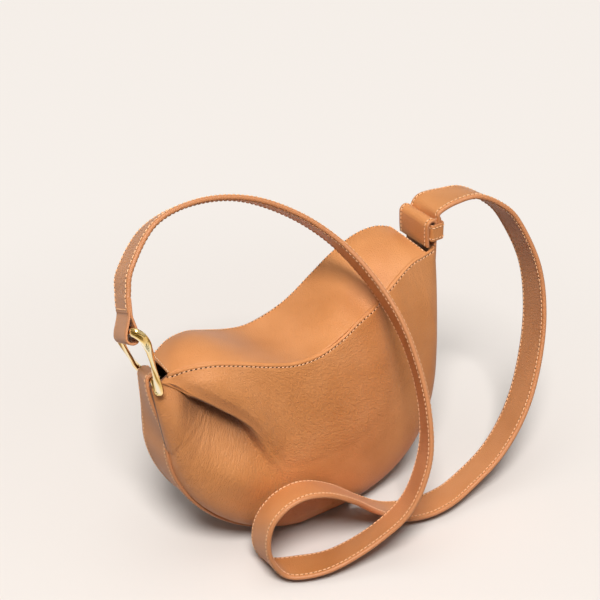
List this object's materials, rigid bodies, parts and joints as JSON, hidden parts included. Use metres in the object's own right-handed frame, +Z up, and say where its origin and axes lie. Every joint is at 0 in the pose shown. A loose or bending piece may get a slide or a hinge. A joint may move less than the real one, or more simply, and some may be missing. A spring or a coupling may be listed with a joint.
{
  "type": "shoulder bag",
  "caption": "Curved leather shoulder bag: saddle-shaped body with a side band, long flat strap on a twisted metal ring, folded tongue with keeper, and a rear zip.",
  "frame": {"origin": "on the surface the bag stands on, under the middle of the side band's flat base", "axes": "+Z up, +X along the bag from the ring end to the keeper end, -Y out of the front panel"},
  "size_m": [0.3506, 0.1664, 0.2815],
  "materials": {
    "tan_leather": "smooth fine-grained tan calf leather with pale saddle stitching",
    "gold_metal": "polished, gold plated",
    "lining_cloth": "fine beige lining cloth",
    "zip_tape": "woven brown zip tape",
    "stiffener_board": "thin fibre board"
  },
  "bodies": {
    "root": {"front_panel": "tan_leather", "back_panel": "tan_leather", "top_panel": "tan_leather", "back_yoke": "tan_leather", "side_gusset": "tan_leather", "side_band": "tan_leather", "keeper_loop": "tan_leather", "strap_inner_ply": "tan_leather", "strap_outer_ply": "tan_leather", "zip_stop_left": "gold_metal", "zip_stop_right": "gold_metal", "zip_teeth_lower": "gold_metal", "zip_teeth_upper": "gold_metal", "lining_front": "lining_cloth", "lining_back": "lining_cloth", "slip_pocket": "lining_cloth", "lining_gusset": "lining_cloth", "zip_tape_lower": "zip_tape", "zip_tape_upper": "zip_tape", "base_stiffener": "stiffener_board"},
    "ring": {"twisted_ring": "gold_metal"},
    "strap_end": {"strap_end_loop": "tan_leather"},
    "zip_slider": {"zip_slider": "gold_metal", "slider_staple": "gold_metal"},
    "zip_pull": {"pull_link": "gold_metal", "zip_pull_tab": "tan_leather"}
  },
  "joints": [
    {"name": "ring_swing", "type": "hinge", "parent": "root", "child": "ring", "pos_m": [-0.12064, 0, 0.1655], "axis": [-0.3026, -0.8772, 0.3728], "range_deg": [0, 12]},
    {"name": "strap_end_swing", "type": "hinge", "parent": "root", "child": "strap_end", "pos_m": [-0.1601, 0.05494, 0.30056], "axis": [0.195, 0.8666, -0.4593], "range_deg": [0, 4.5]},
    {"name": "zip_travel", "type": "hinge", "parent": "root", "child": "zip_slider", "pos_m": [-0.00726, -0.03165, 0.25784], "axis": [-0.0602, 0.8503, 0.5228], "range_deg": [0, 80]},
    {"name": "zip_pull_swing", "type": "hinge", "parent": "zip_slider", "child": "zip_pull", "pos_m": [0.09376, 0.02856, 0.17861], "axis": [0.7142, 0.4026, -0.5726], "range_deg": [0, 150]}
  ],
  "couplings": [
    {"joint": "strap_end_swing", "follows": "ring_swing", "ratio": 0.3657}
  ]
}
